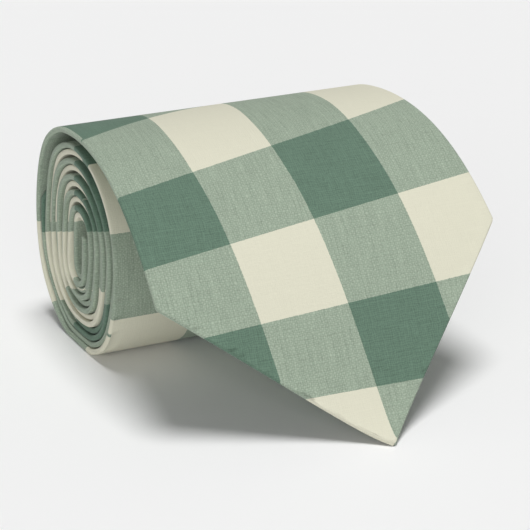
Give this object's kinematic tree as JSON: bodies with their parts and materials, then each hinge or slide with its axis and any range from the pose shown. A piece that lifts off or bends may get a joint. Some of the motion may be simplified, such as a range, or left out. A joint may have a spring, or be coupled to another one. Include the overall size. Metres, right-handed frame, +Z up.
{
  "type": "necktie",
  "caption": "Rolled-up checked necktie in sage green and cream; the wide pointed blade hangs forward over the roll and lifts at a fold.",
  "frame": {"origin": "middle of the footprint, on the table that the roll and the blade's tip rest on", "axes": "+X along the roll towards the wide blade's right corner, -Y towards the hanging blade's tip, +Z up"},
  "size_m": [0.1056, 0.1191, 0.0667],
  "materials": {
    "check_cloth": "matt plain-weave check in sage green and cream",
    "interlining_wool": "brushed wool interlining",
    "tipping_cloth": "smooth satin lining",
    "tab_ribbon": "blank woven ribbon",
    "sewing_thread": "matt cotton thread"
  },
  "bodies": {
    "roll": {"front_blade_shell": "check_cloth", "neck_shell": "check_cloth", "tail_blade_shell": "check_cloth", "front_interlining": "interlining_wool", "tail_interlining": "interlining_wool", "front_join_seam": "sewing_thread", "tail_join_seam": "sewing_thread", "tail_tipping": "tipping_cloth", "front_slip_stitch": "sewing_thread", "neck_slip_stitch": "sewing_thread", "tail_slip_stitch": "sewing_thread", "tail_bar_tack": "sewing_thread", "keeper_loop": "check_cloth", "keeper_tacks": "sewing_thread", "care_tab": "tab_ribbon", "care_tab_stitch": "sewing_thread"},
    "flap": {"flap_shell": "check_cloth", "flap_interlining": "interlining_wool", "flap_tipping": "tipping_cloth", "front_bar_tack": "sewing_thread"},
    "point": {"point_shell": "check_cloth", "point_interlining": "interlining_wool", "point_tipping": "tipping_cloth", "point_tipping_stitch": "sewing_thread"}
  },
  "joints": [
    {"name": "flap_lift", "type": "hinge", "parent": "roll", "child": "flap", "pos_m": [0, 0.01653, 0.06661], "axis": [-1, 0, 0], "range_deg": [0, 80]},
    {"name": "point_turn_up", "type": "hinge", "parent": "flap", "child": "point", "pos_m": [0, -0.03883, 0.02697], "axis": [-1, 0, 0], "range_deg": [0, 60]}
  ]
}
